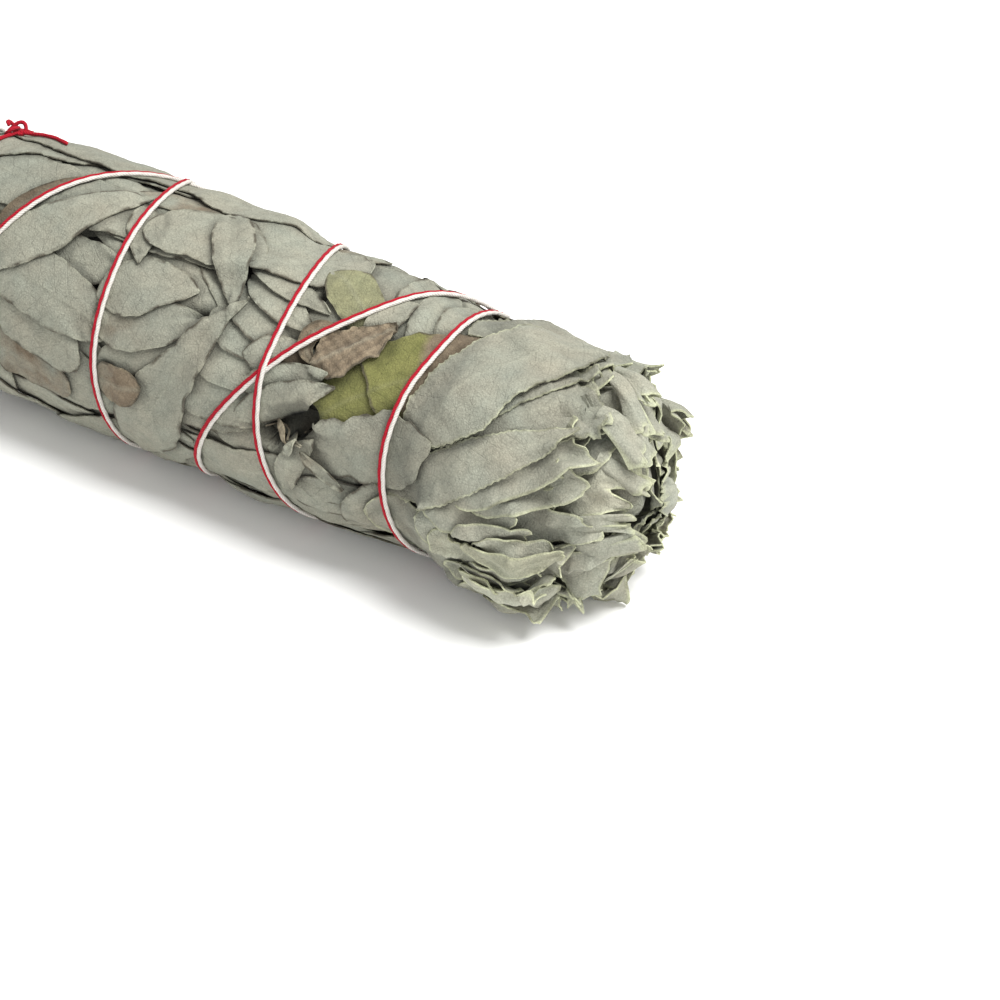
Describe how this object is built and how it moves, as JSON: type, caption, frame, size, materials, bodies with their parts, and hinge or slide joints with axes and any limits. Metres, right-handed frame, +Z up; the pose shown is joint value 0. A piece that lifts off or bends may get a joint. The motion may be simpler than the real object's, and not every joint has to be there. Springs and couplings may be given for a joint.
{
  "type": "sage bunch",
  "caption": "Bundle of dried white sage lying on its side, leafy stems bound by a red and a white cotton thread wound together.",
  "frame": {"origin": "below the middle of the bundle's box, on the surface that it lies on", "axes": "+X along the bundle from the cut stems to the leaf tips, +Z up, -Y the side that faces the viewer"},
  "size_m": [0.1798, 0.0466, 0.0424],
  "materials": {
    "red_cotton": "matte twisted cotton",
    "white_cotton": "matte twisted cotton",
    "stem": "dry woody stem, cut ends",
    "sage_leaf": "dry felted leaf, matte",
    "olive_leaf": "dry leaf, matte",
    "brown_leaf": "dry leaf, matte",
    "tan_leaf": "dry leaf, matte"
  },
  "bodies": {
    "root": {"red_thread": "red_cotton", "white_thread": "white_cotton", "outer_sprig_1_stem": "stem", "outer_sprig_2_stem": "stem", "outer_sprig_3_stem": "stem", "outer_sprig_4_stem": "stem", "outer_sprig_5_stem": "stem", "outer_sprig_6_stem": "stem", "outer_sprig_7_stem": "stem", "outer_sprig_8_stem": "stem", "inner_sprig_1_stem": "stem", "inner_sprig_2_stem": "stem", "inner_sprig_3_stem": "stem", "olive_leaf": "olive_leaf", "brown_leaf": "brown_leaf", "tan_leaf": "tan_leaf", "inner_sprig_1_leaves": "sage_leaf", "inner_sprig_2_leaves": "sage_leaf", "inner_sprig_3_leaves": "sage_leaf", "outer_sprig_1_leaves": "sage_leaf", "outer_sprig_2_leaves": "sage_leaf", "outer_sprig_3_leaves": "sage_leaf", "outer_sprig_4_leaves": "sage_leaf", "outer_sprig_5_leaves": "sage_leaf", "outer_sprig_6_leaves": "sage_leaf", "outer_sprig_7_leaves": "sage_leaf", "outer_sprig_8_leaves": "sage_leaf"}
  },
  "joints": []
}
